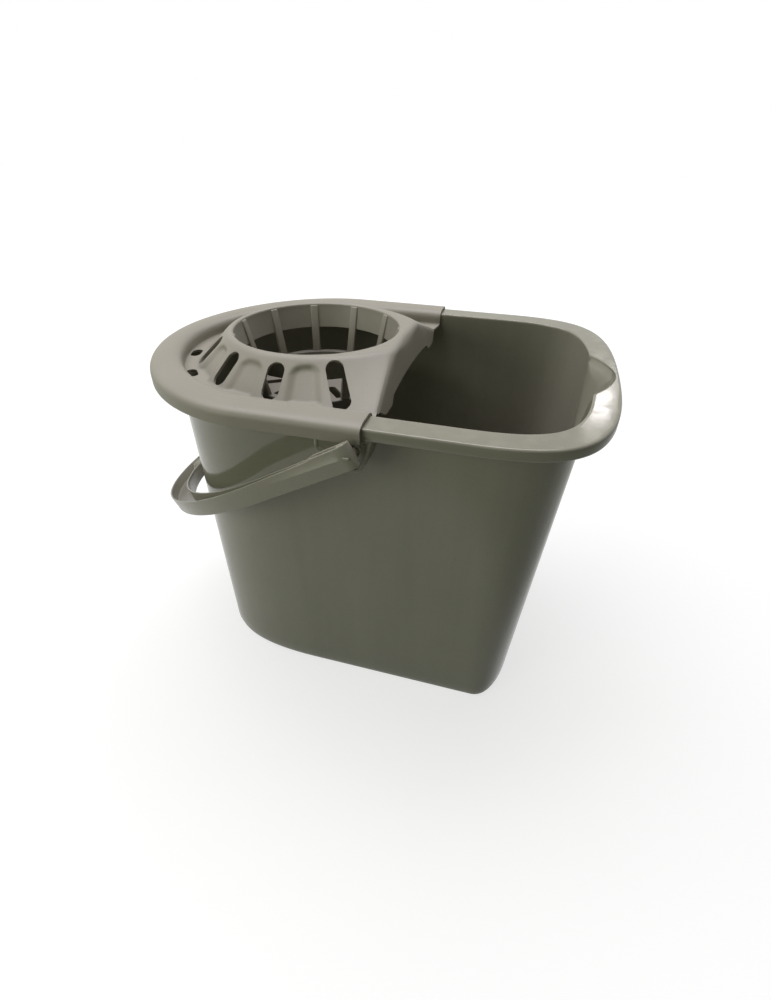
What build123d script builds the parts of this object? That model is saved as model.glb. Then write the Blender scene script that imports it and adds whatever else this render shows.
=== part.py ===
from build123d import *
from dataclasses import dataclass, replace
from math import acos, atan2, cos, degrees, hypot, radians, sin, sqrt
import os

os.makedirs("parts", exist_ok=True)

# Oval mop bucket with a clip-on wringer and a swinging carrying handle, in millimetres.
# The origin is at the middle of the underside, +X points to the pouring spout and +Z up.

# Bucket rim, seen from above
rim_height = 268.0
rim_left = 178.4
rim_right = 184.3
rim_half_width = 135.0
rim_left_curve = 123.3
rim_right_curve = 90.2
rim_left_fullness = 0.52
rim_right_fullness = 0.83

# Bucket rim, in section
land_thickness = 2.5
skirt_height = 8.0
skirt_thickness = 2.5
rim_rounding = 3.0
mouth_rounding = 1.5
rounding_middle_share = 0.3

# Bucket wall and floor
wall_thickness = 2.0
wall_inset_left = 12.4
wall_inset_right = 17.0
wall_inset_side = 18.0
wall_left_curve = 114.0
wall_right_curve = 78.0
base_left = 146.2
base_right = 145.9
base_half_width = 104.5
base_left_curve = 114.0
base_right_curve = 30.0
base_left_fullness = 0.75
base_right_fullness = 0.67
floor_thickness = 3.5
foot_inset = 1.0

# Pouring spout
spout_half_width = 39.5
spout_lip = 3.0
spout_depth = 48.0
spout_setback = 6.0
spout_foot_half_width = 6.0
spout_foot_reach = 4.0
spout_wall = 2.0

# Handle lugs and pivots
pivot_x = 24.0
pivot_drop = 14.5
lug_left_width = 26.8
lug_right_width = 11.6
lug_cheek_height = 11.0
lug_foot_half_width = 6.5
lug_foot_drop = 17.5
lug_foot_rise = 6.0
lug_plate_setback = 0.4
lug_boss_wall = 1.6
lug_boss_reach = 7.4
pin_radius = 3.5
pin_length = 13.0
pin_clearance = 0.05
pin_end_clearance = 0.6

# Carrying handle, with the arms level
arm_side_clearance = 0.6
arm_width = 7.0
arm_end_length = 4.2
arm_end_rise = 9.7
arm_end_drop = 7.1
grip_height = 11.0
grip_width = 23.0
handle_end_clearance = 16.6
handle_outer_straight = 76.0
handle_inner_straight = 60.0
handle_outer_fullness = 0.52
handle_inner_fullness = 0.54
handle_wall = 2.0
handle_web = 2.5
grip_zone = 75.0
grip_block_half_width = 18.0
grip_wall_clearance = 10.8

# Wringer cover over the rim
cover_gap = 2.0
cover_thickness = 2.0
cover_skirt_height = 9.0
cover_rounding = 4.0
cover_seat = 1.0
cover_end_overhang = 1.25
cover_leg_clearance_left = 1.8
cover_leg_clearance_side = 1.5
cover_leg_bevel = 3.5
seat_pad_length = 14.0
seat_pad_width = 6.0

# Wringer deck and hood
ring_radius = 66.5
ring_lip = 4.5
ring_rise = 15.0
ring_front_width = 9.0
deck_drop = 9.0
deck_thickness = 2.0
deck_ledge_back = 10.7
deck_ledge_side = 14.0
hood_wall = 2.8
hood_front_half = 35.0
hood_side_early_share = 0.4
hood_side_late_share = 0.25
hood_side_spread_share = 0.64
feature_pitch = 30.0
slot_width = 13.0
slot_top_margin = 5.7
slot_low_margin = 1.1
slot_count_each_side = 4
flute_radius = 16.0
flute_depth = 2.2
flute_skin = 1.6
flute_top_margin = 7.2
flute_overrun = 3.6
drain_length = 15.0
drain_width = 8.0
drain_pitch = 25.5

# Wringer apron
apron_lean = 4.0
apron_thickness = 2.0
apron_arch_drop = 22.6
apron_arch_end_drop = 26.0
apron_tooth_drop = 33.0
apron_heel_below_deck = 0.6
apron_heel_width = 9.5
apron_tooth_width = 22.0
apron_tooth_back_width = 10.0

# Wringer basket
basket_depth = 46.0
basket_slope = 0.233
band_height = 17.2
band_thickness = 2.0
bar_count = 11
bar_width = 6.5
bar_proud = 2.5
bar_thickness = 4.5
basket_floor_thickness = 2.5
basket_ring_height = 6.0
basket_ring_width = 6.0
floor_slot_length = 26.0
floor_slot_width = 7.0


@dataclass
class Plan:
    """An outline seen from above: rounded left end, straight sides, rounded right end."""

    left: float
    right: float
    half: float
    left_curve: float
    right_curve: float
    left_fullness: float
    right_fullness: float

    def inset(self, amount):
        return self.shrunk(amount, amount, amount)

    def shrunk(self, left, right, side):
        return replace(
            self,
            left=self.left + left,
            right=self.right - right,
            half=self.half - side,
            left_curve=self.left_curve - left,
            right_curve=self.right_curve - right,
        )

    def face(self, height):
        straight_left = self.left + self.left_curve
        straight_right = self.right - self.right_curve
        pull_left = straight_left - self.left_fullness * self.left_curve
        pull_right = straight_right + self.right_fullness * self.right_curve
        rise_left = self.left_fullness * self.half
        rise_right = self.right_fullness * self.half

        def spot(x, y):
            return (x, y, height)

        half = self.half
        tip_left = spot(self.left, 0)
        tip_right = spot(self.right, 0)
        far_left = spot(straight_left, half)
        near_left = spot(straight_left, -half)
        near_right = spot(straight_right, -half)
        far_right = spot(straight_right, half)
        edges = [
            Line(far_right, far_left),
            Bezier(far_left, spot(pull_left, half), spot(self.left, rise_left), tip_left),
            Bezier(tip_left, spot(self.left, -rise_left), spot(pull_left, -half), near_left),
            Line(near_left, near_right),
            Bezier(near_right, spot(pull_right, -half), spot(self.right, -rise_right), tip_right),
            Bezier(tip_right, spot(self.right, rise_right), spot(pull_right, half), far_right),
        ]
        return Face(Wire(edges))


def tapered(*sections):
    """A solid through plan outlines, each given with its height."""
    faces = [plan.face(height) for plan, height in sections]
    return loft(faces, ruled=True)


def prism(plan, low, high):
    return tapered((plan, low), (plan, high))


def block(low, high):
    """A box between two corners."""
    size = [top - bottom for bottom, top in zip(low, high)]
    middle = [(top + bottom) / 2 for bottom, top in zip(low, high)]
    return Pos(*middle) * Box(*size)


def swept_profile(points, axis_x):
    """A ring turned about the upright line at axis_x, from points of radius and height."""
    corners = [(axis_x + radius, 0, height) for radius, height in points]
    profile = Face(Wire(Polyline(*corners, close=True).edges()))
    return revolve(profile, axis=Axis((axis_x, 0, 0), (0, 0, 1)))


def save(name, shape):
    export_step(shape, os.path.join("parts", name + ".step"))


# Outlines of the bucket
rim_plan = Plan(
    -rim_left,
    rim_right,
    rim_half_width,
    rim_left_curve,
    rim_right_curve,
    rim_left_fullness,
    rim_right_fullness,
)
wall_plan = Plan(
    -rim_left + wall_inset_left,
    rim_right - wall_inset_right,
    rim_half_width - wall_inset_side,
    wall_left_curve,
    wall_right_curve,
    rim_left_fullness,
    rim_right_fullness,
)
base_plan = Plan(
    -base_left,
    base_right,
    base_half_width,
    base_left_curve,
    base_right_curve,
    base_left_fullness,
    base_right_fullness,
)
mouth_plan = wall_plan.inset(wall_thickness)
land_underside = rim_height - land_thickness
skirt_bottom = rim_height - skirt_height
big = 2 * (rim_left + rim_right)
middle_left = -rim_left + rim_left_curve
middle_right = rim_right - rim_right_curve

# Bucket wall: one tapered shell, cut into its two sides and its two ends
bucket_core = tapered((base_plan, floor_thickness), (wall_plan, land_underside))
bucket_inside = tapered((base_plan.inset(wall_thickness), floor_thickness), (mouth_plan, land_underside))
bucket_wall = bucket_core - bucket_inside

# Pouring spout: a pocket that runs from the rim down into the end wall


def spout_section(height, edge_x, half_width, reach):
    """A round-nosed plan section, as wide as given where it crosses the wall at edge_x."""
    far_back = (edge_x - spout_setback, half_width, height)
    near_back = (edge_x - spout_setback, -half_width, height)
    far_edge = (edge_x, half_width, height)
    near_edge = (edge_x, -half_width, height)
    edges = [
        Line(far_edge, far_back),
        Line(far_back, near_back),
        Line(near_back, near_edge),
        ThreePointArc(near_edge, (edge_x + reach, 0, height), far_edge),
    ]
    return Face(Wire(edges))


def spout_solid(margin):
    """The pocket at the spout, grown by a margin."""
    reach = rim_right - spout_lip - mouth_plan.right
    drop_share = spout_depth / (land_underside - floor_thickness)
    foot_x = mouth_plan.right - drop_share * (wall_plan.right - base_right)
    foot_height = rim_height - spout_depth
    top = spout_section(rim_height, mouth_plan.right, spout_half_width + margin, reach + margin)
    foot = spout_section(foot_height, foot_x, spout_foot_half_width + margin, spout_foot_reach + margin)
    return loft([top, foot], ruled=True)


spout_pocket = spout_solid(0)
spout_shell = spout_solid(spout_wall) - spout_pocket - bucket_core
spout_shell = spout_shell & prism(rim_plan.inset(skirt_thickness), floor_thickness, land_underside)
bucket_wall = bucket_wall - spout_pocket

bucket_floor = prism(base_plan.inset(foot_inset), 0, floor_thickness)
far_wall = bucket_wall & block((middle_left, 0, 0), (middle_right, big, big))
near_wall = bucket_wall & block((middle_left, -big, 0), (middle_right, 0, big))
wringer_end_wall = bucket_wall & block((-big, -big, 0), (middle_left, big, big))
spout_end_wall = bucket_wall & block((middle_right, -big, 0), (big, big, big))

# Bucket rim: a flat land with a turned-down skirt
rim_rounding_middle = rounding_middle_share * rim_rounding
rim_outside = tapered(
    (rim_plan, skirt_bottom),
    (rim_plan, rim_height - rim_rounding),
    (rim_plan.inset(rim_rounding_middle), rim_height - rim_rounding_middle),
    (rim_plan.inset(rim_rounding), rim_height),
)
rim_hollow = prism(rim_plan.inset(skirt_thickness), skirt_bottom, land_underside)
rim_mouth = tapered(
    (mouth_plan, land_underside),
    (mouth_plan, rim_height - mouth_rounding),
    (mouth_plan.inset(-mouth_rounding), rim_height),
)
bucket_rim = rim_outside - rim_hollow - rim_mouth - spout_pocket

# Handle lugs: plates flush with the rim's skirt, each with a round boss and a blind pivot bore
pivot_height = rim_height - pivot_drop
lug_face = rim_half_width + lug_boss_reach
lug_foot = pivot_height - lug_foot_drop
lug_top_left = (pivot_x - lug_left_width, 0, skirt_bottom)
lug_top_right = (pivot_x + lug_right_width, 0, skirt_bottom)
lug_right_heel = (pivot_x + lug_foot_half_width, 0, lug_foot + lug_foot_rise)
lug_left_heel = (pivot_x - lug_foot_half_width, 0, lug_foot + lug_foot_rise)
lug_left_cheek = (pivot_x - lug_left_width, 0, skirt_bottom - lug_cheek_height)
lug_outline = Wire(
    [
        Line(lug_top_left, lug_top_right),
        Line(lug_top_right, lug_right_heel),
        ThreePointArc(lug_right_heel, (pivot_x, 0, lug_foot), lug_left_heel),
        Line(lug_left_heel, lug_left_cheek),
        Line(lug_left_cheek, lug_top_left),
    ]
)
pin_face = lug_face + arm_side_clearance
pin_tip = pin_face - pin_length
bore_bottom = pin_tip - pin_end_clearance
bore_radius = pin_radius + pin_clearance


def pivot_cylinder(radius, inner_end, outer_end):
    """A round bar along the near pivot, between two distances from the middle of the bucket."""
    middle = Pos(pivot_x, -(inner_end + outer_end) / 2, pivot_height)
    return middle * Rot(90, 0, 0) * Cylinder(radius, outer_end - inner_end)


lug_plate = extrude(Face(lug_outline), amount=rim_half_width - lug_plate_setback, dir=(0, -1, 0))
lug_boss = pivot_cylinder(bore_radius + lug_boss_wall, 0, lug_face)
lug_boss = lug_boss & block((-big, -big, 0), (big, 0, skirt_bottom))
near_lug = lug_plate + lug_boss - bucket_core - pivot_cylinder(bore_radius, bore_bottom, big)
far_lug = mirror(near_lug, about=Plane.XZ)

# Carrying handle, made level with its arms pointing to -X from the pivot
cover_plan = rim_plan.inset(-cover_gap - cover_thickness)
arm_inner = pin_face
arm_outer = arm_inner + arm_width
grip_reach = pivot_x - cover_plan.left + handle_end_clearance
handle_reach = grip_reach + grip_width


def bail_plan(half, straight, reach, fullness):
    """The area inside a U-shaped line: arms from the pivot, closed by a round end."""
    return Plan(-reach, arm_end_length, half, reach - straight, 0, fullness, 0)


def bail_face(plan, height):
    straight_left = plan.left + plan.left_curve
    pull_left = straight_left - plan.left_fullness * plan.left_curve
    rise_left = plan.left_fullness * plan.half
    far_end = (plan.right, plan.half, height)
    far_left = (straight_left, plan.half, height)
    near_left = (straight_left, -plan.half, height)
    near_end = (plan.right, -plan.half, height)
    tip = (plan.left, 0, height)
    edges = [
        Line(far_end, far_left),
        Bezier(far_left, (pull_left, plan.half, height), (plan.left, rise_left, height), tip),
        Bezier(tip, (plan.left, -rise_left, height), (pull_left, -plan.half, height), near_left),
        Line(near_left, near_end),
        Line(near_end, far_end),
    ]
    return Face(Wire(edges))


def bail_prism(plan, low, high):
    return extrude(bail_face(plan, low), amount=high - low, dir=(0, 0, 1))


outer_bail = bail_plan(arm_outer, handle_outer_straight, handle_reach, handle_outer_fullness)
inner_bail = bail_plan(arm_inner, handle_inner_straight, grip_reach, handle_inner_fullness)


def thinned(plan, amount):
    """The same U line moved inwards, with the arm ends shortened as well."""
    return replace(
        plan,
        left=plan.left + amount,
        right=plan.right - abs(amount),
        half=plan.half - amount,
        left_curve=plan.left_curve - amount,
    )


def wedge(rise_at_pivot, rise_at_grip, top):
    """The space under a plane that leans along the handle."""
    slope_end = -handle_reach
    outer_end = slope_end * 2
    outer_rise = rise_at_grip + (rise_at_grip - rise_at_pivot)
    near_end_x = handle_reach
    near_rise = rise_at_pivot + (rise_at_pivot - rise_at_grip)
    corners = [
        (outer_end, -arm_outer * 2, outer_rise),
        (near_end_x, -arm_outer * 2, near_rise),
        (near_end_x, -arm_outer * 2, top),
        (outer_end, -arm_outer * 2, top),
    ]
    side = Face(Wire(Polyline(*corners, close=True).edges()))
    return extrude(side, amount=arm_outer * 4, dir=(0, 1, 0))


tall = (arm_end_rise + arm_end_drop) * 2
bail_space = bail_prism(replace(inner_bail, right=tall), -tall * 2, tall * 2)
bail_band = bail_prism(outer_bail, -tall, tall) - bail_space
bail_band = bail_band - wedge(arm_end_rise, grip_height / 2, tall * 4)
bail_band = bail_band - wedge(-arm_end_drop, -grip_height / 2, -tall * 4)
groove_space = bail_prism(replace(thinned(inner_bail, -handle_wall), right=tall), -tall * 2, tall * 2)
groove = bail_prism(thinned(outer_bail, handle_wall), -tall, tall) - groove_space
groove = groove - wedge(handle_web - arm_end_drop, handle_web - grip_height / 2, -tall * 4)
groove = groove - block((-big, -grip_block_half_width, -tall), (0, grip_block_half_width, tall))
bail_band = bail_band - groove

# The handle hangs until the lower corner of its grip is just clear of the end wall
wall_lean = degrees(atan2(base_plan.left - wall_plan.left, land_underside - floor_thickness))
pivot_to_wall = (pivot_x - wall_plan.left) * cos(radians(wall_lean))
pivot_to_wall = pivot_to_wall + (pivot_height - land_underside) * sin(radians(wall_lean))
grip_corner_drop = arm_end_drop + (grip_height / 2 - arm_end_drop) * grip_reach / handle_reach
corner_distance = hypot(grip_reach, grip_corner_drop)
corner_angle = degrees(atan2(grip_corner_drop, grip_reach))
swing_to_wall = degrees(acos((pivot_to_wall + grip_wall_clearance) / corner_distance))
hang_angle = wall_lean - corner_angle + swing_to_wall
placed = Pos(pivot_x, 0, pivot_height) * Rot(0, -hang_angle, 0)
grip_edge = -(handle_reach - grip_zone)
near_arm = placed * (bail_band & block((grip_edge, -big, -big), (big, 0, big)))
far_arm = mirror(near_arm, about=Plane.XZ)
handle_grip = placed * (bail_band & block((-big, -big, -big), (grip_edge, big, big)))
near_pin = pivot_cylinder(pin_radius, pin_tip, pin_face)
far_pin = mirror(near_pin, about=Plane.XZ)

# Wringer cover: a channel over the left part of the rim, with an inner leg down to the deck
cover_underside = rim_height + cover_seat
cover_top = cover_underside + cover_thickness
cover_skirt_bottom = cover_top - cover_skirt_height
deck_top = rim_height - deck_drop
deck_bottom = deck_top - deck_thickness
leg_back_plan = mouth_plan.shrunk(
    cover_leg_clearance_left,
    cover_leg_clearance_side,
    cover_leg_clearance_side,
)
leg_plan = leg_back_plan.inset(cover_thickness)
hood_base_radius = leg_plan.half - deck_ledge_side
ring_x = leg_plan.left + deck_ledge_back + hood_base_radius
apron_top_x = ring_x + ring_radius + ring_front_width
apron_foot_x = apron_top_x + apron_lean
cover_end_x = apron_foot_x + cover_end_overhang
wringer_side = block((-big, -big, 0), (cover_end_x, big, big))
cover_rounding_middle = rounding_middle_share * cover_rounding
cover_outside = tapered(
    (cover_plan, cover_skirt_bottom),
    (cover_plan, cover_top - cover_rounding),
    (cover_plan.inset(cover_rounding_middle), cover_top - cover_rounding_middle),
    (cover_plan.inset(cover_rounding), cover_top),
)
cover_opening = tapered(
    (leg_plan, cover_skirt_bottom),
    (leg_plan, cover_top - cover_leg_bevel),
    (leg_plan.inset(-cover_leg_bevel), cover_top),
)
cover_hollow = prism(cover_plan.inset(cover_thickness), cover_skirt_bottom, cover_underside)
leg_back = tapered(
    (leg_back_plan, cover_skirt_bottom),
    (leg_back_plan, cover_underside - cover_leg_bevel),
    (leg_back_plan.inset(-cover_leg_bevel), cover_underside),
)
leg_foot = prism(leg_back_plan, deck_top, cover_skirt_bottom)
leg_foot = leg_foot - prism(leg_plan, deck_top, cover_skirt_bottom)
rim_cover = cover_outside - (cover_hollow - leg_back) - cover_opening
rim_cover = (rim_cover + leg_foot) & wringer_side
pad_y = (rim_half_width + mouth_plan.half) / 2
for pad_x in (middle_left + seat_pad_length, cover_end_x - seat_pad_length):
    for side in (-1, 1):
        pad = Box(seat_pad_length, seat_pad_width, cover_seat)
        rim_cover = rim_cover + Pos(pad_x, side * pad_y, rim_height + cover_seat / 2) * pad
pad_left = Box(seat_pad_width, seat_pad_length, cover_seat)
rim_cover = rim_cover + Pos((mouth_plan.left - rim_left) / 2, 0, rim_height + cover_seat / 2) * pad_left
cover_end = rim_cover & block((-big, -big, 0), (middle_left, big, big))
near_cover = rim_cover & block((middle_left, -big, 0), (big, 0, big))
far_cover = mirror(near_cover, about=Plane.XZ)

# Wringer hood: a cone at the back that runs out to a straight front edge
ring_top = rim_height + ring_rise
hood_height = ring_top - deck_top


def hood_face(height, radius, front_x, front_half):
    """A half circle at the back, with sides that run forward to a straight front."""
    length = front_x - ring_x
    spread = radius - front_half
    early_x = ring_x + hood_side_early_share * length
    late_x = front_x - hood_side_late_share * length
    late_y = front_half + hood_side_spread_share * spread
    far_back = (ring_x, radius, height)
    near_back = (ring_x, -radius, height)
    near_front = (front_x, -front_half, height)
    far_front = (front_x, front_half, height)
    edges = [
        ThreePointArc(far_back, (ring_x - radius, 0, height), near_back),
        Bezier(near_back, (early_x, -radius, height), (late_x, -late_y, height), near_front),
        Line(near_front, far_front),
        Bezier(far_front, (late_x, late_y, height), (early_x, radius, height), far_back),
    ]
    return Face(Wire(edges))


lip_radius = ring_radius + ring_lip
hood_outside = loft(
    [
        hood_face(deck_top, hood_base_radius, apron_foot_x, hood_base_radius),
        hood_face(ring_top, lip_radius, apron_top_x, hood_front_half),
    ],
    ruled=True,
)


def slanted_front(back_off):
    """Everything behind the leaning front plane, moved back by a distance."""
    lean = (apron_foot_x - apron_top_x) / hood_height
    low_x = apron_foot_x + lean * deck_top - back_off
    high_x = apron_top_x - lean * ring_rise - back_off
    corners = [
        (-big, -big, 0),
        (low_x, -big, 0),
        (high_x, -big, ring_top + ring_rise),
        (-big, -big, ring_top + ring_rise),
    ]
    side = Face(Wire(Polyline(*corners, close=True).edges()))
    return extrude(side, amount=2 * big, dir=(0, 1, 0))


behind_front = slanted_front(0)
behind_apron = slanted_front(apron_thickness)
hood = hood_outside - Pos(0, 0, -hood_wall) * hood_outside
above_deck = block((-big, -big, deck_top), (big, big, big))
hood = hood & behind_apron & above_deck
hood = hood - Pos(ring_x, 0, ring_top) * Cylinder(ring_radius, hood_height)


def base_distance(angle):
    """Distance from the ring's axis to the foot of the hood, in one direction."""
    if abs(angle) >= 90:
        return hood_base_radius
    return hood_base_radius / sin(radians(abs(angle)))


def slope_plane(angle, top_margin, low_margin):
    """The middle of a run down the hood's slope, and its length, between margins from ring and foot."""
    reach = base_distance(angle) - lip_radius
    length = hypot(reach, hood_height)
    run = length - top_margin - low_margin
    share = (top_margin + run / 2) / length
    radius = lip_radius + share * reach
    outward = (cos(radians(angle)), sin(radians(angle)))
    middle = (ring_x + radius * outward[0], radius * outward[1], ring_top - share * hood_height)
    down = (reach / length * outward[0], reach / length * outward[1], -hood_height / length)
    lift = (hood_height / length * outward[0], hood_height / length * outward[1], reach / length)
    return Plane(origin=middle, x_dir=down, z_dir=lift), run


flute_angles = []
slot_angles = [180.0]
for step in range(1, slot_count_each_side + 1):
    for side in (-1, 1):
        slot_angles.append(side * (180 - step * feature_pitch))
        flute_angles.append(side * (180 - (step - 0.5) * feature_pitch))

flute_half_width = sqrt(flute_depth * (2 * flute_radius - flute_depth))
for angle in flute_angles:
    plane, run = slope_plane(angle, flute_top_margin, -flute_overrun)
    lying = Pos(flute_half_width / 2, 0, 0) * Rot(0, 90, 0)
    lift_off = Pos(0, 0, flute_radius - flute_depth)
    top_end = Pos(-run / 2 + flute_half_width, 0, 0)
    straight = run - flute_half_width
    trough = lying * Cylinder(flute_radius, straight) + top_end * Sphere(flute_radius)
    backing_radius = flute_radius + flute_skin
    backing = lying * Cylinder(backing_radius, straight) + top_end * Sphere(backing_radius)
    backing = (plane.location * lift_off * backing) & hood_outside & above_deck
    hood = hood + backing - plane.location * lift_off * trough

for angle in slot_angles:
    plane, run = slope_plane(angle, slot_top_margin, slot_low_margin)
    hole = extrude(SlotOverall(run, slot_width), amount=slot_width / 2, both=True)
    hood = hood - plane.location * hole

# Wringer deck: a flat ledge round the foot of the hood, with drain holes at the back
hood_foot_inside = extrude(
    hood_face(deck_bottom, hood_base_radius - hood_wall, apron_foot_x * 2, hood_base_radius - hood_wall),
    amount=deck_thickness,
    dir=(0, 0, 1),
)
drain_deck = (prism(leg_back_plan, deck_bottom, deck_top) & behind_apron) - hood_foot_inside
drain_radius = (hood_base_radius + ring_x - leg_plan.left) / 2
first_drain = 180 - feature_pitch / 2
for angle in (first_drain, first_drain - drain_pitch):
    for side in (-1, 1):
        spot = Pos(ring_x, 0, deck_top) * Rot(0, 0, side * angle) * Pos(drain_radius, 0, 0) * Rot(0, 0, 90)
        hole = extrude(SlotOverall(drain_length, drain_width), amount=deck_thickness, both=True)
        drain_deck = drain_deck - spot * hole

# Wringer apron: the leaning front plate, arched below, with a tooth at each side
arch_crown = (0, 0, ring_top - apron_arch_drop)
apron_heel_y = hood_base_radius - apron_heel_width
apron_tooth_y = apron_heel_y - apron_tooth_width
apron_arch_half = apron_tooth_y - apron_tooth_back_width


def apron_points(side):
    """Corners of one half of the plate, from the top to the end of the arch."""
    return [
        (0, side * hood_front_half, ring_top),
        (0, side * hood_base_radius, deck_top),
        (0, side * apron_heel_y, deck_top - apron_heel_below_deck),
        (0, side * apron_tooth_y, ring_top - apron_tooth_drop),
        (0, side * apron_arch_half, ring_top - apron_arch_end_drop),
    ]


far_points = apron_points(1)
near_points = apron_points(-1)
apron_outline = Wire(
    Polyline(*far_points).edges()
    + [ThreePointArc(far_points[-1], arch_crown, near_points[-1])]
    + Polyline(*reversed(near_points)).edges()
    + [Line(near_points[0], far_points[0])]
)
front_apron = Pos(-big / 2, 0, 0) * extrude(Face(apron_outline), amount=big, dir=(1, 0, 0))
front_apron = (front_apron & behind_front) - behind_apron

# Wringer basket: a solid band under the ring, bars that run down from it, and a slotted floor
band_top = ring_top - hood_wall
band_bottom = band_top - band_height
basket_bottom = ring_top - basket_depth
ring_ledge = basket_bottom + basket_ring_height


def basket_radius(height):
    return ring_radius - basket_slope * (band_top - height)


basket_band = swept_profile(
    [
        (basket_radius(band_top), band_top),
        (basket_radius(band_top) + band_thickness, band_top),
        (basket_radius(band_bottom) + band_thickness, band_bottom),
        (basket_radius(band_bottom), band_bottom),
    ],
    ring_x,
)
bar_profile = Polyline(
    (basket_radius(band_top) - bar_proud, -bar_width / 2, band_top),
    (basket_radius(band_top) - bar_proud + bar_thickness, -bar_width / 2, band_top),
    (basket_radius(ring_ledge) - bar_proud + bar_thickness, -bar_width / 2, ring_ledge),
    (basket_radius(ring_ledge) - bar_proud, -bar_width / 2, ring_ledge),
    close=True,
)
one_bar = extrude(Face(Wire(bar_profile.edges())), amount=bar_width, dir=(0, 1, 0))
bars = []
for number in range(bar_count):
    turned = Pos(ring_x, 0, 0) * Rot(0, 0, 180 + number * 360 / bar_count) * one_bar
    bars.append((turned - basket_band).solid())
squeezing_bars = Compound(children=bars)

floor_edge = basket_radius(ring_ledge) - bar_proud + bar_thickness
floor_inner = floor_edge - basket_ring_width
basket_floor = swept_profile(
    [
        (0, basket_bottom),
        (floor_edge, basket_bottom),
        (floor_edge, ring_ledge),
        (floor_inner, ring_ledge),
        (floor_inner, basket_bottom + basket_floor_thickness),
        (0, basket_bottom + basket_floor_thickness),
    ],
    ring_x,
)
slot_middle = floor_inner - floor_slot_length / 2 - floor_slot_width / 2
for number in range(bar_count):
    turned = Pos(ring_x, 0, basket_bottom) * Rot(0, 0, 180 + number * 360 / bar_count)
    spot = turned * Pos(slot_middle, 0, 0)
    hole = extrude(SlotOverall(floor_slot_length, floor_slot_width), amount=basket_ring_height, both=True)
    basket_floor = basket_floor - spot * hole

nodes = {
    "bucket_floor": bucket_floor,
    "near_wall": near_wall,
    "far_wall": far_wall,
    "wringer_end_wall": wringer_end_wall,
    "spout_end_wall": spout_end_wall,
    "bucket_rim": bucket_rim,
    "pouring_spout": spout_shell,
    "near_handle_lug": near_lug,
    "far_handle_lug": far_lug,
    "near_handle_arm": near_arm,
    "far_handle_arm": far_arm,
    "handle_grip": handle_grip,
    "near_pivot_pin": near_pin,
    "far_pivot_pin": far_pin,
    "rim_cover_end": cover_end,
    "near_rim_cover": near_cover,
    "far_rim_cover": far_cover,
    "drain_deck": drain_deck,
    "slotted_hood": hood,
    "front_apron": front_apron,
    "basket_band": basket_band,
    "squeezing_bars": squeezing_bars,
    "basket_floor": basket_floor,
}
for name, shape in nodes.items():
    save(name, shape)
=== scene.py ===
import math

import bmesh
import bpy
import numpy as np
from mathutils import Matrix, Vector


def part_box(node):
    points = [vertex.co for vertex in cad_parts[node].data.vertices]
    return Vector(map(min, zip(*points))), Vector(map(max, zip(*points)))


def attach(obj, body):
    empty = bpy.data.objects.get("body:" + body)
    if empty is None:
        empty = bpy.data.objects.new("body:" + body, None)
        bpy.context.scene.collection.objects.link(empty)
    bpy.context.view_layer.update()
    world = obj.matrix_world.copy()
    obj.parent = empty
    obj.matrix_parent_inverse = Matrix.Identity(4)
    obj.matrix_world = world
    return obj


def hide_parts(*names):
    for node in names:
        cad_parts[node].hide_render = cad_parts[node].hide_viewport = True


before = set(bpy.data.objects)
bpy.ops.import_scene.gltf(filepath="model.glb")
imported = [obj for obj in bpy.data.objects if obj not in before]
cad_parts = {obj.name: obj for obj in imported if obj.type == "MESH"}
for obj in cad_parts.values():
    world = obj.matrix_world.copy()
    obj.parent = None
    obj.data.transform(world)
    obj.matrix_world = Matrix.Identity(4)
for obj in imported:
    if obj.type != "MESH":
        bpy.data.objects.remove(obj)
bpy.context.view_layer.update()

# Bucket: one shell of warm grey polypropylene, injection moulded in a single shot.
# The wall drafts outwards from a stepped foot to a broad rim that is turned down all round,
# and a pouring spout is pressed into the rim and the wall at the right-hand end.
rim_low, rim_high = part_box("bucket_rim")
foot_low, foot_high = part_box("bucket_floor")
rim_top = rim_high.z
rim_rounding = 0.0017
skirt_bottom = rim_low.z
skirt_thickness = 0.0025
skirt_gap = 0.0003
land_thickness = 0.0025
land_underside = rim_top - land_thickness
mouth_flat = 0.92
mouth_turn = 0.08
mouth_drop = 0.0015
overhang_left = 0.0124
overhang_right = 0.017
overhang_side = 0.018
wall_thickness = 0.002
floor_top = foot_high.z
floor_fillet = 0.009
foot_step = 0.001
spout_half_width = 0.0395
spout_reach = 0.016
spout_depth = 0.048
spout_foot_share = 0.25
spout_bow = 1.85
crease_softness = 1.2
crease_run = 0.16
right_end = 0.1


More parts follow.
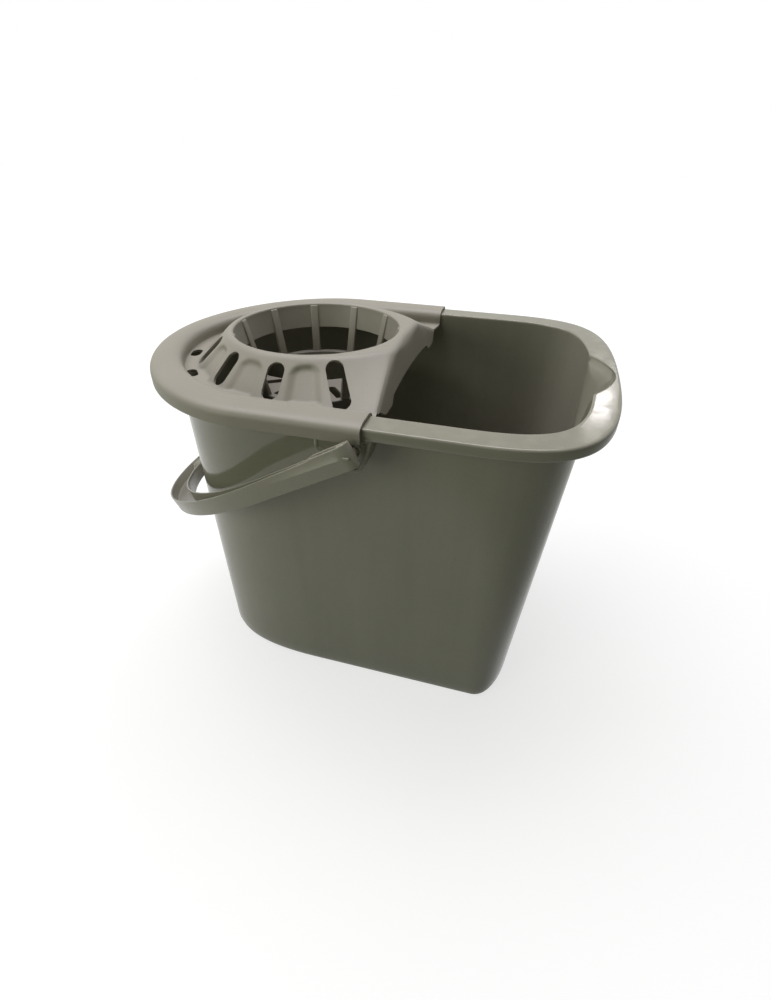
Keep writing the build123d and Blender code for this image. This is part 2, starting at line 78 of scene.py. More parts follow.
def oval(left, right, half, left_curve, right_curve, left_fullness, right_fullness):
    """Points round an oval seen from above, anticlockwise from the right end of the far side."""
    end_steps, tip_steps, side_steps, crowding = 48, 80, 40, 1.6

    def quarter(start, pull, push, end, share):
        t = share[:, None]
        leaving = (1 - t) ** 3 * np.array(start) + 3 * (1 - t) ** 2 * t * np.array(pull)
        return leaving + 3 * (1 - t) * t**2 * np.array(push) + t**3 * np.array(end)

    even = np.linspace(0, 1, end_steps, endpoint=False)
    onward = np.linspace(0, 1, tip_steps, endpoint=False)
    from_tip = onward**crowding
    to_tip = 1 - (1 - onward) ** crowding
    side = np.linspace(0, 1, side_steps, endpoint=False)[:, None]
    turn_left = left + left_curve
    turn_right = right - right_curve
    pull_left = turn_left - left_fullness * left_curve
    pull_right = turn_right + right_fullness * right_curve
    rise_left = left_fullness * half
    rise_right = right_fullness * half
    run = np.array([turn_left - turn_right, 0])
    return np.concatenate([
        np.array([turn_right, half]) + side * run,
        quarter((turn_left, half), (pull_left, half), (left, rise_left), (left, 0), even),
        quarter((left, 0), (left, -rise_left), (pull_left, -half), (turn_left, -half), even),
        np.array([turn_left, -half]) - side * run,
        quarter((turn_right, -half), (pull_right, -half), (right, -rise_right), (right, 0), to_tip),
        quarter((right, 0), (right, rise_right), (pull_right, half), (turn_right, half), from_tip),
    ])


def inset(points, amount):
    """The same outline moved inwards."""
    along = np.roll(points, -1, axis=0) - np.roll(points, 1, axis=0)
    along = along / np.linalg.norm(along, axis=1)[:, None]
    return points - amount * np.stack([along[:, 1], -along[:, 0]], axis=1)


def between(first, second, share):
    """What lies at a share of the way from the first to the second."""
    return first + (second - first) * share


def raised(points, height):
    """A flat outline set at a height."""
    return np.column_stack([points, np.broadcast_to(height, len(points))])


def quarter_round(steps):
    """Shares along and across a rounded edge, from its start to its end."""
    turn = np.linspace(0, math.pi / 2, steps)
    return list(zip(1 - np.cos(turn), np.sin(turn)))


def skin(name, rows, foot_cap=True):
    """A mesh through rows of points that run closed round the piece, closed at its ends."""
    count = len(rows[0])
    faces = []
    for row in range(len(rows) - 1):
        for spot in range(count):
            after = (spot + 1) % count
            low, high = row * count, (row + 1) * count
            faces.append((low + spot, low + after, high + after, high + spot))
    if foot_cap:
        faces.append(tuple(reversed(range(count))))
    faces.append(tuple(range((len(rows) - 1) * count, len(rows) * count)))
    mesh = bpy.data.meshes.new(name)
    mesh.from_pydata(np.concatenate(rows).tolist(), [], faces)
    mesh.shade_smooth()
    return mesh


def piece(mesh, body, slot, material, *nodes):
    """Puts a mesh on a body of the frame, in place of the nodes that it stands for."""
    made = bpy.data.objects.new(mesh.name, mesh)
    bpy.context.collection.objects.link(made)
    made.data.materials.append(material)
    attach(made, body)
    if nodes:
        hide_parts(*nodes)
    return made


class Tone:
    """A value on its way through a material: arithmetic on it adds Math nodes."""

    def __init__(self, tree, socket):
        self.tree = tree
        self.socket = socket

    def node(self, kind, settings, sockets, output=0):
        """Any other node, from its type, its settings and the values or links of its sockets."""
        made = self.tree.nodes.new(kind)
        for name, value in settings.items():
            setattr(made, name, value)
        for name, value in sockets.items():
            if isinstance(value, Tone):
                self.tree.links.new(value.socket, made.inputs[name])
            else:
                made.inputs[name].default_value = value
        return Tone(self.tree, made.outputs[output]) if made.outputs else None

    def maths(self, operation, first, second):
        """One Math node."""
        return self.node("ShaderNodeMath", {"operation": operation}, {0: first, 1: second})

    def __add__(self, other):
        return self.maths("ADD", self, other)

    def __sub__(self, other):
        return self.maths("SUBTRACT", self, other)

    def __rsub__(self, other):
        return self.maths("SUBTRACT", other, self)

    def __mul__(self, other):
        return self.maths("MULTIPLY", self, other)

    __radd__ = __add__
    __rmul__ = __mul__

    def step(self, low, high):
        """Rises smoothly from 0 at low to 1 at high."""
        sockets = {"Value": self, "From Min": low, "From Max": high}
        return self.node("ShaderNodeMapRange", {"interpolation_type": "SMOOTHSTEP"}, sockets)

    def noise(self, scale, detail):
        """Noise at this place."""
        return self.node("ShaderNodeTexNoise", {}, {"Vector": self, "Scale": scale, "Detail": detail})

    def stretched(self, x, y, z):
        """This place, scaled along each axis."""
        return self.node("ShaderNodeMapping", {}, {"Vector": self, "Scale": (x, y, z)})

    def blend(self, first, second):
        """A colour between two others, with this value as the share of the second."""
        return self.node("ShaderNodeMix", {"data_type": "RGBA"}, {0: self, 6: first, 7: second}, 2)


def srgb(red, green, blue):
    """A colour for a shader from its 0 to 255 screen values."""
    shares = [value / 255 for value in (red, green, blue)]
    linear = [s / 12.92 if s <= 0.04045 else ((s + 0.055) / 1.055) ** 2.4 for s in shares]
    return (*linear, 1.0)


def moulded_grey(name, colour, dullness, sheen_index, waviness, draw, scuffed_below=-1.0, scuffed_over=1.0):
    """Moulded polypropylene: faint clouding, draw marks, a fine grain and wear at the foot and the top."""

    def shade(share):
        return srgb(*[min(255, value * share) for value in colour])

    material = bpy.data.materials.new(name)
    material.use_nodes = True
    tree = material.node_tree
    tree.nodes.clear()
    place = Tone(tree, tree.nodes.new("ShaderNodeTexCoord").outputs["Object"])
    height = place.node("ShaderNodeSeparateXYZ", {}, {0: place}, 2)
    clouding = place.noise(14.0, 3.0)
    draw_marks = place.stretched(*draw).noise(1.0, 4.0)
    grain = place.noise(1500.0, 2.0)
    speckle = place.noise(620.0, 1.0).step(0.62, 0.72)
    hairlines = place.stretched(260.0, 34.0, 420.0).noise(1.0, 2.0).step(0.69, 0.76)
    worn = 1 - height.step(scuffed_below, scuffed_below + 0.006)
    rubbed = height.step(scuffed_over - 0.003, scuffed_over)
    wear = (worn + rubbed * 0.5) * place.noise(90.0, 4.0).step(0.42, 0.68)
    tint = (clouding * 0.6 + draw_marks * 0.5 - 0.05).blend(shade(0.93), shade(1.05))
    tint = (speckle * 0.16).blend(tint, shade(0.82))
    tint = (wear * 0.35 + hairlines * 0.03).blend(tint, shade(1.16))
    uneven = 1 + (clouding - 0.5) * 0.35 + (draw_marks - 0.5) * 0.4
    dull = uneven * dullness + wear * 0.16 + hairlines * 0.06
    relief = grain * 0.35 + draw_marks * 0.5 + clouding * 1.0 - hairlines * 0.15
    normal = relief.node("ShaderNodeBump", {}, {"Strength": waviness, "Distance": 0.00045, "Height": relief})
    surface = place.node(
        "ShaderNodeBsdfPrincipled",
        {},
        {"Base Color": tint, "Roughness": dull, "Normal": normal, "IOR": sheen_index},
    )
    place.node("ShaderNodeOutputMaterial", {}, {"Surface": surface})
    return material


rim_oval = oval(
    rim_low.x, rim_high.x, rim_high.y,
    left_curve=0.1233, right_curve=0.0902, left_fullness=0.52, right_fullness=0.80,
)
wall_oval = oval(
    rim_low.x + overhang_left, rim_high.x - overhang_right, rim_high.y - overhang_side,
    left_curve=0.1140, right_curve=0.078, left_fullness=0.52, right_fullness=0.83,
)
base_oval = oval(
    foot_low.x - foot_step, foot_high.x + foot_step, foot_high.y + foot_step,
    left_curve=0.114, right_curve=0.030, left_fullness=0.75, right_fullness=0.67,
)


def wall_line(height):
    """The outside of the wall at one height."""
    return between(base_oval, wall_oval, (height - floor_top) / (land_underside - floor_top))


def pressed(points, height):
    """An outline with the spout pushed out of its right end."""
    left_open = np.clip(1 - (rim_top - height) / spout_depth, 0, 1)
    half_width = spout_half_width * (spout_foot_share + (1 - spout_foot_share) * left_open)
    fading = 1 + crease_softness * min(1, (1 - left_open) / crease_run)
    bow = np.clip(1 - (np.abs(points[:, 1]) / half_width) ** spout_bow, 0, None) ** fading
    push = spout_reach * left_open * bow * (points[:, 0] > right_end)
    return points + np.column_stack([push, np.zeros(len(points))])


foot_profile = (
    (0.0145, 0.0012), (0.0105, 0.0012), (0.0090, 0.0011), (0.0078, 0.0002), (0.0070, 0.0), (0.0030, 0.0),
    (0.0017, 0.0003), (0.0011, 0.0012), (0.0010, 0.0030), (0.0008, 0.0036), (0.0002, 0.0040),
)
rows = [raised(inset(base_oval, depth), height) for depth, height in foot_profile]
skirt_line = inset(rim_oval, skirt_thickness)
plain_climb = np.linspace(0.005, 0.21, 20)
spout_climb = np.linspace(0.215, 0.2635, 18)
climb = np.concatenate([plain_climb, spout_climb])
for height in climb:
    line = wall_line(height)
    bulged = pressed(line, height)
    kept = np.minimum(bulged[:, 0], np.maximum(line[:, 0], skirt_line[:, 0] - skirt_gap))
    rows.append(raised(np.column_stack([kept, bulged[:, 1]]), height))
wall_head = rows[-1][:, :2]
land_profile = ((0.03, 0.0008), (0.10, 0.0001), (0.5, 0.0), (0.9, 0.0), (0.97, 0.0002))
for share, drop in land_profile:
    rows.append(raised(between(wall_head, skirt_line, share), land_underside - drop))
rows.append(raised(skirt_line, land_underside - 0.001))
rows.append(raised(skirt_line, skirt_bottom + 0.001))
hem_profile = ((0.0022, 0.0003), (0.00125, 0.0), (0.0003, 0.0003), (0.0, 0.0011))
for depth, height in hem_profile:
    rows.append(raised(inset(rim_oval, depth), skirt_bottom + height))
for across, up in quarter_round(7):
    rows.append(raised(inset(rim_oval, rim_rounding * across), rim_top - rim_rounding + rim_rounding * up))
land_edge = inset(rim_oval, rim_rounding)
mouth_line = pressed(inset(wall_oval, wall_thickness), rim_top)
for share in (0.06, 0.3, 0.6, 0.86):
    rows.append(raised(between(land_edge, mouth_line, share), rim_top))
for across, up in quarter_round(6):
    share = mouth_flat + mouth_turn * up
    rows.append(raised(between(land_edge, mouth_line, share), rim_top - mouth_drop * across))
for height in climb[::-1]:
    if height > floor_top + floor_fillet:
        rows.append(raised(pressed(inset(wall_line(height), wall_thickness), height), height))
for across, up in quarter_round(7):
    height = floor_top + floor_fillet * (1 - up)
    rows.append(raised(inset(wall_line(height), wall_thickness + floor_fillet * across), height))
for depth in (0.0130, 0.0145):
    rows.append(raised(inset(base_oval, depth), floor_top))

bucket_grey = moulded_grey(
    "bucket_grey",
    colour=(138, 136, 122),
    dullness=0.10,
    sheen_index=1.43,
    waviness=0.04,
    draw=(70.0, 70.0, 3.0),
    scuffed_below=0.003,
    scuffed_over=rim_top,
)
piece(
    skin("bucket_shell", rows),
    "bucket",
    "bucket_plastic",
    bucket_grey,
    "bucket_floor",
    "near_wall",
    "far_wall",
    "wringer_end_wall",
    "spout_end_wall",
    "bucket_rim",
    "pouring_spout",
)

# Handle lugs: a thick plate under the rim on each long side, moulded in one with the bucket.
# Each has a raised border and a round boss, bored blind from outside to take the handle's pivot stud.
pin_low, pin_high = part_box("near_pivot_pin")
lug_low, lug_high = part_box("near_handle_lug")
pivot = Vector(((pin_low.x + pin_high.x) / 2, 0, (pin_low.z + pin_high.z) / 2))
plate_face = rim_high.y - 0.0004
plate_corner = 0.0030
plate_steps = 180
plate_tuck = 0.001
plate_side = 0.012
waist_half = 0.0065
toe_half = 0.0035
toe_rise = 0.006
border_sink = 0.0006
border_line = 0.0031
boss_face = plate_face + 0.003
boss_radius = 0.00515
bore_clearance = 0.00005
bore_radius = (pin_high.x - pin_low.x) / 2 + bore_clearance
bore_bottom = -pin_high.y - 0.0006


def rounded(corners, radius, steps):
    """A closed outline with its corners rounded off."""
    corners = [np.array(corner, float) for corner in corners]
    points = []
    for number, corner in enumerate(corners):
        ends = []
        for other in (corners[number - 1], corners[(number + 1) % len(corners)]):
            away = other - corner
            ends.append(corner + away * min(0.48, radius / np.linalg.norm(away)))
        for t in np.linspace(0, 1, steps):
            points.append((1 - t) ** 2 * ends[0] + 2 * (1 - t) * t * corner + t**2 * ends[1])
    return np.array(points)


def evenly(points, count):
    """The same closed outline with its points spaced evenly."""
    loop = np.vstack([points, points[:1]])
    run = np.concatenate([[0], np.cumsum(np.linalg.norm(np.diff(loop, axis=0), axis=1))])
    marks = np.linspace(0, run[-1], count, endpoint=False)
    return np.column_stack([np.interp(marks, run, loop[:, axis]) for axis in (0, 1)])


lug_left, lug_right = lug_low.x - pivot.x, lug_high.x - pivot.x
lug_top, lug_foot = lug_high.z - pivot.z + plate_tuck, lug_low.z - pivot.z
plate = [
    (lug_left, lug_top), (lug_left, lug_top - plate_side), (-waist_half, lug_foot + toe_rise),
    (-toe_half, lug_foot), (toe_half, lug_foot), (waist_half, lug_foot + toe_rise), (lug_right, lug_top),
]
plate = evenly(rounded(plate, plate_corner, 8), plate_steps)
turn = np.arctan2(plate[:, 1], plate[:, 0])
ring = np.column_stack([np.cos(turn), np.sin(turn)])
wall_reach = (foot_high.y, rim_high.y - overhang_side)
wall_there = np.interp(plate[:, 1] + pivot.z, (floor_top, land_underside), wall_reach)
lug_lines = [
    (plate, wall_there - plate_tuck),
    (plate, plate_face - 0.0009),
    (inset(plate, 0.0003), plate_face - 0.0003),
    (inset(plate, 0.0009), plate_face),
    (inset(plate, 0.0024), plate_face),
    (inset(plate, 0.0028), plate_face - 0.0005),
    (inset(plate, border_line), plate_face - border_sink),
    (between(inset(plate, border_line), ring * boss_radius, 0.9), plate_face - border_sink),
    (ring * (boss_radius + 0.0002), plate_face - 0.0003),
    (ring * boss_radius, plate_face + 0.0004),
    (ring * boss_radius, boss_face - 0.0006),
    (ring * (boss_radius - 0.0002), boss_face - 0.0002),
    (ring * (boss_radius - 0.0006), boss_face),
    (ring * (bore_radius + 0.0004), boss_face),
    (ring * bore_radius, boss_face - 0.0004),
    (ring * bore_radius, bore_bottom),
]
for side, name in ((-1, "near_handle_lug"), (1, "far_handle_lug")):
    lug_rows = []
    for line, reach in lug_lines:
        out = np.broadcast_to(reach, len(line)) * side
        lug_rows.append(np.column_stack([line[:, 0] + pivot.x, out, line[:, 1] + pivot.z]))
    if side > 0:
        lug_rows = [row[::-1] for row in lug_rows]
    mesh = skin(name.replace("handle", "pivot") + "_boss", lug_rows)
    mesh.set_sharp_from_angle(angle=math.radians(60))
    piece(mesh, "bucket", "bucket_plastic", bucket_grey, name)

# Carrying handle: a U-shaped bail of the same grey plastic, for most of its run an open-topped channel.
# The arms end in taller boxes with a rounded end at the pivots, and the bow broadens to a grip
# with a closed web in its middle.
hang = math.radians(29.5306)
arm_end = 0.0042
arm_inner = 0.143
arm_outer = 0.1494
arm_rise = 0.0097
arm_drop = 0.0071
arm_box_length = 0.0252
arm_jog = 0.007
arm_step = 0.0009
arm_step_fade = (0.10, 0.20)
arm_slimming = 0.0012
arm_slimming_fade = (0.10, 0.16)
ridge_height = 0.0003
ridge_crown = 0.0003
ridge_foot = 0.0007
ridge_start = (0.002, 0.006)
ridge_end = (0.052, 0.060)
crease_near, crease_far, crease_length = 0.0015, 0.0029, 0.058
end_rounding = 0.0065
end_curl = 0.7
end_easing = 0.0006
end_cap = 0.009
grip_height = 0.011
outer_reach = 0.246
inner_reach = 0.223
outer_straight = 0.076
inner_straight = 0.060
handle_wall = 0.0017
handle_web = 0.0025
handle_lip = 0.0005
handle_cove = 0.0012
grip_block_half = 0.018
grip_fill = 0.80


def smooth_rise(value, low, high):
    """Rises smoothly from 0 at low to 1 at high."""
    share = np.clip((value - low) / (high - low), 0, 1)
    return share * share * (3 - 2 * share)


def bail_line(half, straight, reach, fullness):
    """One edge of the U from the near pivot round the grip to the far pivot."""
    rounding = end_rounding * (1 - np.cos(np.linspace(0, math.pi / 2, 9)))
    box = np.linspace(end_rounding + 0.0006, arm_box_length - 0.002, 14)
    jog = np.linspace(arm_box_length - 0.001, arm_box_length + 0.008, 11)
    rest = np.linspace(arm_box_length + 0.010, arm_end + straight, 14)
    ahead = np.concatenate([rounding, box, jog, rest])
    arm = np.column_stack([arm_end - ahead, np.full(len(ahead), -half)])
    t = np.linspace(0, 1, 72)[1:, None]
    bend = (1 - t) ** 3 * np.array([-straight, -half])
    bend = bend + 3 * (1 - t) ** 2 * t * np.array([-straight - fullness * (reach - straight), -half])
    bend = bend + 3 * (1 - t) * t**2 * np.array([-reach, -fullness * half]) + t**3 * np.array([-reach, 0])
    near = np.concatenate([arm, bend])
    return np.concatenate([near, near[-2::-1] * np.array([1, -1])])


outer_line = bail_line(arm_outer, outer_straight, outer_reach, fullness=0.52)
inner_line = bail_line(arm_inner, inner_straight, inner_reach, fullness=0.54)
tip_back = Matrix.Translation(pivot) @ Matrix.Rotation(-hang, 4, "Y")
handle_rows = []
for outer, inner in zip(outer_line, inner_line):
    across = outer - inner
    across = across / np.linalg.norm(across)
    from_pivot = -(outer[0] + inner[0]) / 2
    from_end = arm_end + from_pivot
    boxed = 1 - smooth_rise(from_end, arm_box_length, arm_box_length + arm_jog)
    narrow = arm_slimming * (1 - boxed) * (1 - smooth_rise(from_pivot, *arm_slimming_fade))
    near_end = 1 - min(from_end / end_rounding, 1)
    curled = end_curl * end_rounding * (1 - math.sqrt(1 - near_end**2))
    width = np.linalg.norm(outer - inner) - narrow - curled
    inner = inner + across * narrow
    eased = end_easing * (1 - math.sqrt(1 - (1 - min(from_end / end_easing, 1)) ** 2))
    taper = np.clip(from_pivot / outer_reach, 0, 1)
    top = between(arm_rise, grip_height / 2, taper) - eased
    top = top - arm_step * (1 - boxed) * (1 - 0.6 * smooth_rise(from_pivot, *arm_step_fade))
    low = eased - between(arm_drop, grip_height / 2, taper)
    blocked = 1 - smooth_rise(abs(outer[1]), grip_block_half - 0.003, grip_block_half + 0.001)
    ended = 1 - smooth_rise(from_end, end_cap, end_cap + 0.001)
    wall = min(handle_wall, 0.3 * width)
    bed = between(low + handle_web, top - 0.0006, max(blocked * grip_fill, ended))
    lip = min(handle_lip, 0.3 * wall)
    cove = min(handle_cove, 0.3 * (width - 2 * wall))
    inside = width - wall
    under_lip = top - lip
    lip_knee, cove_knee = 0.3 * lip, 0.3 * cove
    ridge = ridge_height * smooth_rise(from_pivot, *ridge_start) * (1 - smooth_rise(from_pivot, *ridge_end))
    crease = between(crease_near, crease_far, min(max(from_pivot, 0) / crease_length, 1))
    section = [
        (0, low + lip), (lip_knee, low + lip_knee), (lip, low), (width / 2, low), (width - lip, low),
        (width - lip_knee, low + lip_knee), (width, low + lip), (width, crease - ridge_foot),
        (width + ridge, crease - ridge_crown), (width + ridge, crease + ridge_crown),
        (width, crease + ridge_foot), (width, under_lip), (width - lip_knee, top - lip_knee),
        (width - lip, top), (inside + lip, top), (inside + lip_knee, top - lip_knee), (inside, under_lip),
        (inside, min(bed + cove, under_lip)), (inside - cove_knee, min(bed + cove_knee, under_lip)),
        (inside - cove, bed), (width / 2, bed), (wall + cove, bed),
        (wall + cove_knee, min(bed + cove_knee, under_lip)), (wall, min(bed + cove, under_lip)),
        (wall, under_lip), (wall - lip_knee, top - lip_knee), (wall - lip, top), (lip, top),
        (lip_knee, top - lip_knee), (0, under_lip), (0, (low + top) / 2),
    ]
    level = [Vector((*(inner + across * s), z)) for s, z in section]
    handle_rows.append(np.array([tip_back @ spot for spot in level]))


def faced_out(mesh):
    """Turns the faces of a closed mesh outwards."""
    made = bmesh.new()
    made.from_mesh(mesh)
    bmesh.ops.recalc_face_normals(made, faces=made.faces)
    made.to_mesh(mesh)
    made.free()
    return mesh


handle_grey = moulded_grey(
    "handle_grey",
    colour=(144, 141, 128),
    dullness=0.24,
    sheen_index=1.45,
    waviness=0.12,
    draw=(40.0, 40.0, 40.0),
)
handle_mesh = faced_out(skin("carrying_handle", handle_rows))
handle_mesh.set_sharp_from_angle(angle=math.radians(50))
piece(
    handle_mesh,
    "handle",
    "handle_plastic",
    handle_grey,
    "near_handle_arm",
    "far_handle_arm",
    "handle_grip",
)

pip_half_length = 0.0021
pip_half_height = 0.0008
pip_corner = 0.0007
pip_place = np.array([-0.0006, 0.0011])
pip = [
    (-pip_half_length, -pip_half_height), (pip_half_length, -pip_half_height),
    (pip_half_length, pip_half_height), (-pip_half_length, pip_half_height),
]
pip = evenly(rounded(pip, pip_corner, 6), 48) + pip_place
for side, name in ((-1, "near_arm_pip"), (1, "far_arm_pip")):
    pip_rows = []
    for shrink, proud in ((0.0, -0.0010), (0.0, 0.0002), (0.0002, 0.00045), (0.0004, 0.00055)):
        line = inset(pip, shrink)
        out = np.full(len(line), side * (arm_outer + proud))
        pip_rows.append(np.column_stack([line[:, 0] + pivot.x, out, line[:, 1] + pivot.z]))
    mesh = faced_out(skin(name, pip_rows))
    piece(mesh, "handle", "handle_plastic", handle_grey)

# Pivot studs: short round pins of the handle's own grey, moulded on the inside of the arm ends.
# They spring into the bored lugs when the arms are bent apart, and the handle swings on them.
for name in ("near_pivot_pin", "far_pivot_pin"):
    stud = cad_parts[name]
    stud.data.materials.clear()
    stud.data.materials.append(handle_grey)

# Wringer: one moulding of matt grey polypropylene that clips over the left part of the rim.
# A rounded cover rides on the rim, an inner leg drops to a drain deck, and a slotted hood climbs
# from the deck to the ring that the mop is pressed through; its front is a leaning apron.
ring_low, ring_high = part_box("basket_band")
hood_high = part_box("slotted_hood")[1]
deck_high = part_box("drain_deck")[1]
cover_low, cover_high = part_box("rim_cover_end")
side_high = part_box("near_rim_cover")[1]
wringer_wall = 0.002
wringer_edge = 0.0005
ring_x = (ring_low.x + ring_high.x) / 2
ring_radius = (ring_high.y - ring_low.y) / 2 - wringer_wall
ring_top = hood_high.z
ring_lip = 0.0019
ring_lip_drop = 0.0022
band_straight = 0.0028
band_taper = 0.233
lip_radius = ring_radius + 0.0045
deck_top = deck_high.z
hood_radius = hood_high.y
hood_brow = 0.003
hood_brow_more_in_front = 0.003
hood_shoulder = 0.0042
hood_shoulder_more_in_front = 0.0048
hood_foot_softness = 0.0022
front_top_x = 0.0235
front_foot_x = 0.0275
front_half = 0.035
apron_half = 0.0985
arch_depth = 0.0234
arch_fall = 0.0030
arch_half = 0.056
tooth_drop = 0.0052
tooth_inside = (0.054, 0.064)
tooth_outside = (0.078, 0.092)
heel_lift = 0.0016
heel_rise = (0.074, 0.092)
leg_inset = 0.0222
leg_side_inset = 0.0275
leg_foot_softness = 0.0018
cover_front = side_high.x
cover_top = cover_high.z
cover_skirt = cover_low.z
crown = 0.0105
crown_fall = 0.0075
crown_outer_fall = 0.0058
far_steps, back_steps, front_steps = 72, 212, 96
front_angle = math.radians(25)


def u_line(far, back, near):
    """One line from a far side, a back and a near side that share their ends."""
    return np.concatenate([far, back[1:-1], near])


def arc(radius, start, end, steps):
    """Points on a circle about the ring's axis."""
    turn = np.linspace(start, end, steps)
    return np.column_stack([ring_x + radius * np.cos(turn), radius * np.sin(turn)])


def hood_line(radius, front_x, half):
    """The hood's outline at one level: far side, round back, near side, then the front."""
    t = np.linspace(0, 1, far_steps)[:, None]
    length = front_x - ring_x
    far = (1 - t) ** 3 * np.array([front_x, half])
    far = far + 3 * (1 - t) ** 2 * t * np.array([front_x - 0.25 * length, half + 0.64 * (radius - half)])
    far = far + 3 * (1 - t) * t**2 * np.array([ring_x + 0.4 * length, radius])
    far = far + t**3 * np.array([ring_x, radius])
    near = far[::-1] * np.array([1, -1])
    front = np.column_stack([np.full(front_steps, front_x), np.linspace(-half, half, front_steps)])
    line = u_line(far, arc(radius, math.pi / 2, 1.5 * math.pi, back_steps), near)
    return np.concatenate([line, front[1:-1]])


def ring_line(radius):
    """A circle about the ring's axis, with as many points as the hood's outline."""
    line = u_line(
        arc(radius, front_angle, math.pi / 2, far_steps),
        arc(radius, math.pi / 2, 1.5 * math.pi, back_steps),
        arc(radius, 1.5 * math.pi, 2 * math.pi - front_angle, far_steps),
    )
    return np.concatenate([line, arc(radius, -front_angle, front_angle, front_steps)[1:-1]])


open_count = 2 * far_steps + back_steps - 2
front_corners = (0, open_count - 1)


def softened(points, reach, times):
    """An outline with its two front corners eased."""
    points = points.copy()
    count = len(points)
    for _ in range(times):
        smooth = (np.roll(points, 1, axis=0) + np.roll(points, -1, axis=0)) / 2
        for corner in front_corners:
            spots = [(corner + step) % count for step in range(-reach, reach + 1)]
            points[spots] = smooth[spots]
    return points


hood_top = softened(hood_line(lip_radius, front_top_x, front_half), reach=20, times=48)
hood_foot = softened(hood_line(hood_radius, front_foot_x, hood_radius), reach=12, times=10)
in_front = np.arange(len(hood_top)) >= open_count


def lower_edge(y):
    """Height of the apron's lower edge: a shallow arch between two teeth."""
    reach = np.abs(y)
    arch = arch_depth + arch_fall * np.clip(reach / arch_half, 0, 1) ** 2
    heel = heel_lift * smooth_rise(reach, *heel_rise)
    tooth = smooth_rise(reach, *tooth_inside) * (1 - smooth_rise(reach, *tooth_outside))
    return ring_top - arch + heel - tooth_drop * tooth


slope_end = raised(hood_foot, deck_top)
top_edge = raised(hood_top, ring_top)
fall = slope_end - top_edge
fall_length = np.linalg.norm(fall, axis=1)[:, None]
front_share = in_front.astype(float)
for _ in range(30):
    front_share = (np.roll(front_share, 1) + 2 * front_share + np.roll(front_share, -1)) / 4
shoulder = (hood_shoulder + hood_shoulder_more_in_front * front_share)[:, None]
shoulder_end = top_edge + fall * (shoulder / fall_length)
foot_start = slope_end - fall * (hood_foot_softness / fall_length)
apron_end = foot_start.copy()
apron_y = np.clip(hood_foot[:, 1], -apron_half, apron_half)
apron_z = lower_edge(apron_y)
apron_lean = (front_foot_x - front_top_x) / (ring_top - deck_top)
apron_x = hood_foot[:, 0] - apron_lean * (apron_z - deck_top)
apron_end[in_front] = np.column_stack([apron_x, apron_y, apron_z])[in_front]
lip_line = ring_line(ring_radius + ring_lip)
top_width = np.linalg.norm(hood_top - lip_line, axis=1)
brow = (hood_brow + hood_brow_more_in_front * front_share) / top_width
top_end = between(hood_top, lip_line, np.clip(brow, 0, 0.75)[:, None])


def bent(first, corner, last, steps):
    """Rows round a soft corner."""
    return [(1 - t) ** 2 * first + 2 * (1 - t) * t * corner + t**2 * last for t in np.linspace(0, 1, steps)]


hood_rows = []
for depth in (0.0200, 0.0196, 0.0185, 0.016, 0.013, 0.010, 0.007, 0.0045):
    radius = ring_radius - band_taper * max(0, depth - band_straight)
    hood_rows.append(raised(ring_line(radius), ring_top - depth))
lip_start = raised(ring_line(ring_radius), ring_top - ring_lip_drop)
hood_rows += bent(lip_start, raised(ring_line(ring_radius), ring_top), raised(lip_line, ring_top), 6)
for share in (0.35, 0.7):
    hood_rows.append(raised(between(lip_line, top_end, share), ring_top))
hood_rows += bent(raised(top_end, ring_top), top_edge, shoulder_end, 10)
for share in np.linspace(0, 1, 25)[1:]:
    hood_rows.append(between(shoulder_end, apron_end, share))


def end_line(left, half, curve):
    """The left end of an oval, with its straight sides run forward to the cover's ends."""
    t = (np.arange(back_steps // 2) / (back_steps / 2 - 0.5))[:, None]
    turn = left + curve
    bow = (1 - t) ** 3 * np.array([turn, half]) + 3 * (1 - t) ** 2 * t * np.array([turn - 0.52 * curve, half])
    bow = bow + 3 * (1 - t) * t**2 * np.array([left, 0.52 * half]) + t**3 * np.array([left, 0])
    back = np.concatenate([bow, bow[::-1] * np.array([1, -1])])
    share = np.linspace(0, 1, far_steps)[:, None]
    far = np.array([cover_front, half]) + share * np.array([turn - cover_front, 0])
    return u_line(far, back, far[::-1] * np.array([1, -1]))


leg_left = cover_low.x + leg_inset
leg_line = end_line(leg_left, cover_high.y - leg_side_inset, curve=0.1082)
cover_line = end_line(cover_low.x, cover_high.y, curve=0.1273)
foot_line = hood_foot[:open_count]
ledge = np.linalg.norm(leg_line - foot_line, axis=1)[:, None]
deck_start = raised(between(foot_line, leg_line, hood_foot_softness / ledge), deck_top)
deck_end = raised(between(foot_line, leg_line, 1 - leg_foot_softness / ledge), deck_top)
cover_width = np.linalg.norm(cover_line - leg_line, axis=1)[:, None]
crown_start = raised(between(leg_line, cover_line, crown / cover_width), cover_top)
crown_end = raised(between(leg_line, cover_line, 1 - crown / cover_width), cover_top)
deck_rows = bent(foot_start[:open_count], raised(foot_line, deck_top), deck_start, 5)[1:]
for share in np.linspace(0, 1, 7)[1:-1]:
    deck_rows.append(between(deck_start, deck_end, share))
leg_foot = raised(leg_line, deck_top + leg_foot_softness)
deck_rows += bent(deck_end, raised(leg_line, deck_top), leg_foot, 5)
for drop in (0.0016, 0.0008):
    deck_rows.append(raised(leg_line, cover_top - crown_fall - drop))
deck_rows += bent(raised(leg_line, cover_top - crown_fall), raised(leg_line, cover_top), crown_start, 10)
for share in (0.25, 0.5, 0.75):
    deck_rows.append(between(crown_start, crown_end, share))
cover_side = raised(cover_line, cover_top - crown_outer_fall)
deck_rows += bent(crown_end, raised(cover_line, cover_top), cover_side, 8)
for height in (0.0022, 0.0012, 0.0):
    deck_rows.append(raised(cover_line, cover_skirt + height))


